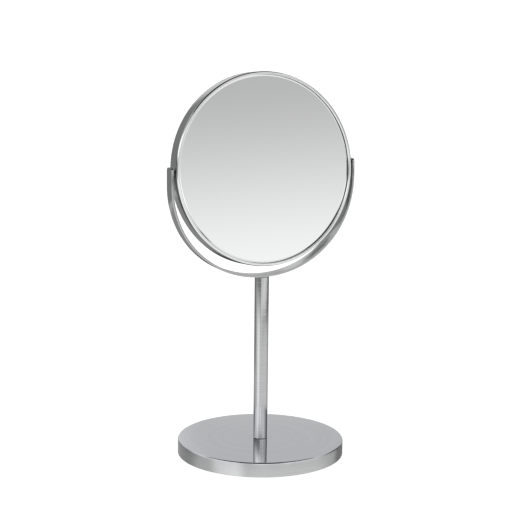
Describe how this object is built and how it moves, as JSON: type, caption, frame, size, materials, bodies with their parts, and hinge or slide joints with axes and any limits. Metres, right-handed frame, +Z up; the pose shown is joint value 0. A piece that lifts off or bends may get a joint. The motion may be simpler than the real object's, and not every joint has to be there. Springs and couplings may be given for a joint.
{
  "type": "pedestal cosmetic mirror",
  "caption": "Free-standing two-sided cosmetic mirror: a round head tilts in a U-shaped strip yoke on a plain column with a weighted disc base.",
  "frame": {"origin": "centre of the base's underside, on the surface the mirror stands on", "axes": "+Z up along the column, -Y out of the plain mirror, X along the head's tilt axis"},
  "size_m": [0.178, 0.149, 0.3434],
  "materials": {
    "brushed_steel": "fine brushed satin",
    "polished_steel": "polished",
    "mirror_glass": "silvered glass with a polished bevel",
    "cast_iron": "as cast, painted",
    "foam_rubber": "closed-cell foam, matt",
    "gasket_rubber": "smooth, matt",
    "black_nylon": "moulded, satin",
    "carrier_plastic": "moulded, satin",
    "backing_sheet": "plain sheet",
    "zinc_steel": "zinc plated"
  },
  "bodies": {
    "stand": {"base_cover": "brushed_steel", "base_weight": "cast_iron", "base_pad": "foam_rubber", "base_bolt": "zinc_steel", "base_washer": "zinc_steel", "base_lock_washer": "zinc_steel", "column_tube": "brushed_steel", "column_foot_plug": "zinc_steel", "column_top_plug": "zinc_steel", "yoke": "brushed_steel", "yoke_screw": "zinc_steel", "pivot_pin_left": "polished_steel", "pivot_pin_right": "polished_steel", "pivot_spacer_left": "black_nylon", "pivot_spacer_right": "black_nylon", "pivot_wave_washer_left": "zinc_steel", "pivot_wave_washer_right": "zinc_steel", "pivot_nut_left": "zinc_steel", "pivot_nut_right": "zinc_steel"},
    "head": {"head_band": "brushed_steel", "rear_bezel": "polished_steel", "front_gasket": "gasket_rubber", "rear_gasket": "gasket_rubber", "front_glass": "mirror_glass", "rear_glass": "mirror_glass", "front_backing": "backing_sheet", "rear_backing": "backing_sheet", "core_ring": "carrier_plastic"}
  },
  "joints": [
    {"name": "head_tilt", "type": "hinge", "parent": "stand", "child": "head", "pos_m": [0, 0, 0.2582], "axis": [1, 0, 0], "continuous": true}
  ]
}
